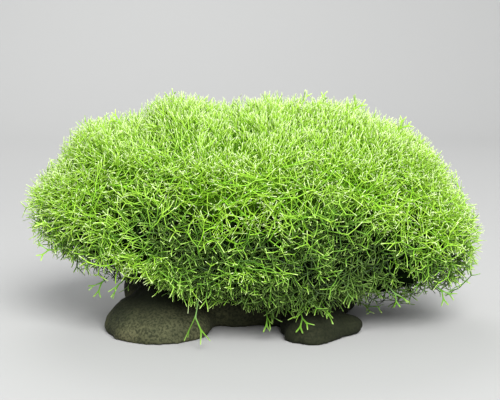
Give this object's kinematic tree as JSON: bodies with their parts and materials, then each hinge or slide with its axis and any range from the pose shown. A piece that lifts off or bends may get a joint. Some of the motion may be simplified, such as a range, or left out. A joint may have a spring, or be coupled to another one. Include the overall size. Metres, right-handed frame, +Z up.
{
  "type": "riccia on stone",
  "caption": "Wide, low dome of fine, forking bright green riccia grown over a flat-bottomed river stone, whose two rounded feet show under the front of the plant.",
  "frame": {"origin": "on the stone's flat underside, below the middle of the plant", "axes": "+X along the plant's longest side, -Y towards the side that faces the viewer, +Z up, away from the surface it rests on"},
  "size_m": [0.2249, 0.1597, 0.1161],
  "materials": {
    "stone": "weathered river stone, matt, olive brown-grey with a fine grain",
    "riccia": null,
    "riccia_tips": null
  },
  "bodies": {
    "root": {"stone": "stone", "riccia_cushion": "riccia", "tall_thallus_1": "riccia_tips", "tall_thallus_2": "riccia_tips", "tall_thallus_3": "riccia_tips", "crown_thallus_1": "riccia_tips", "crown_thallus_2": "riccia_tips", "crown_thallus_3": "riccia_tips", "crown_thallus_4": "riccia_tips", "crown_thallus_5": "riccia_tips", "crown_thallus_6": "riccia_tips", "rim_thallus_1": "riccia_tips", "rim_thallus_2": "riccia_tips", "rim_thallus_3": "riccia_tips", "rim_thallus_4": "riccia_tips", "rim_thallus_5": "riccia_tips", "rim_thallus_6": "riccia_tips", "rim_thallus_7": "riccia_tips", "long_thallus_1": "riccia_tips", "hanging_thallus_1": "riccia_tips", "hanging_thallus_2": "riccia_tips", "hanging_thallus_3": "riccia_tips", "hanging_thallus_4": "riccia_tips", "hanging_thallus_5": "riccia_tips", "hanging_thallus_6": "riccia_tips", "hanging_thallus_7": "riccia_tips"}
  },
  "joints": []
}
